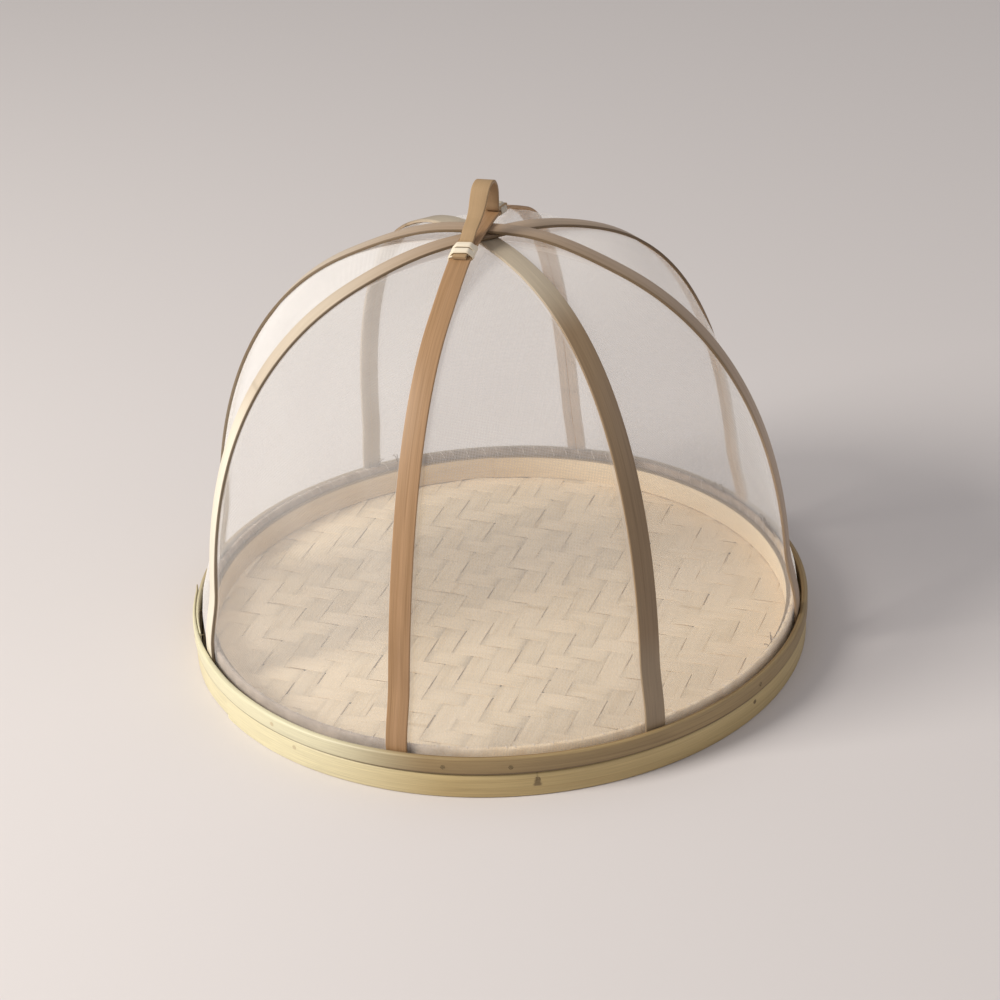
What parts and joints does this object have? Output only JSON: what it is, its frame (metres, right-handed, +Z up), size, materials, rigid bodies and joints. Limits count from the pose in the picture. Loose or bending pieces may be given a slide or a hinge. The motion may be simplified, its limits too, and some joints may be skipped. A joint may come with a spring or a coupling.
{
  "type": "food cover",
  "caption": "Round woven bamboo tray with a lift-off domed cover of arched bamboo strips, netting and a bent strip handle.",
  "frame": {"origin": "centre of the tray's underside, where it rests on a table", "axes": "+Z up, -Y towards the front of the picture, +X to its right"},
  "size_m": [0.3212, 0.3212, 0.2476],
  "materials": {
    "bamboo_pale": "smooth pale yellow bamboo, satin",
    "bamboo_tan": "split bamboo, matt tan",
    "bamboo_olive": "bamboo skin side, satin olive tan",
    "bamboo_orange": "bamboo skin side, satin orange tan",
    "bamboo_brown": "bamboo skin side, satin brown",
    "bamboo_splint": "flat split bamboo in twill weave, matt",
    "cane": "split cane, satin cream",
    "netting": "sheer white gauze",
    "steel": "dull wire brads"
  },
  "bodies": {
    "tray": {"tray_outer_hoop": "bamboo_pale", "tray_clamp_hoop": "bamboo_tan", "tray_lip_hoop": "bamboo_tan", "woven_floor": "bamboo_splint", "tray_brad_1": "steel", "tray_brad_2": "steel", "tray_brad_3": "steel", "tray_brad_4": "steel", "tray_brad_5": "steel", "tray_brad_6": "steel", "tray_brad_7": "steel", "tray_brad_8": "steel"},
    "cover": {"cover_outer_hoop": "bamboo_olive", "cover_inner_hoop": "bamboo_tan", "hem_binding": "netting", "rib_strip_a": "bamboo_orange", "rib_strip_b": "bamboo_brown", "rib_strip_c": "bamboo_brown", "rib_strip_d": "bamboo_brown", "handle_loop": "bamboo_brown", "front_binding": "cane", "rear_binding": "cane", "netting_gore_1": "netting", "netting_gore_2": "netting", "netting_gore_3": "netting", "netting_gore_4": "netting", "netting_gore_5": "netting", "netting_gore_6": "netting", "netting_gore_7": "netting", "netting_gore_8": "netting", "cover_brad_1": "steel", "cover_brad_2": "steel", "cover_brad_3": "steel", "cover_brad_4": "steel", "cover_brad_5": "steel", "cover_brad_6": "steel", "cover_brad_7": "steel", "cover_brad_8": "steel", "cover_brad_9": "steel", "cover_brad_10": "steel"}
  },
  "joints": [
    {"name": "cover_lift", "type": "slide", "parent": "tray", "child": "cover", "axis": [0, 0, 1], "range_m": [0, 0.3]}
  ]
}
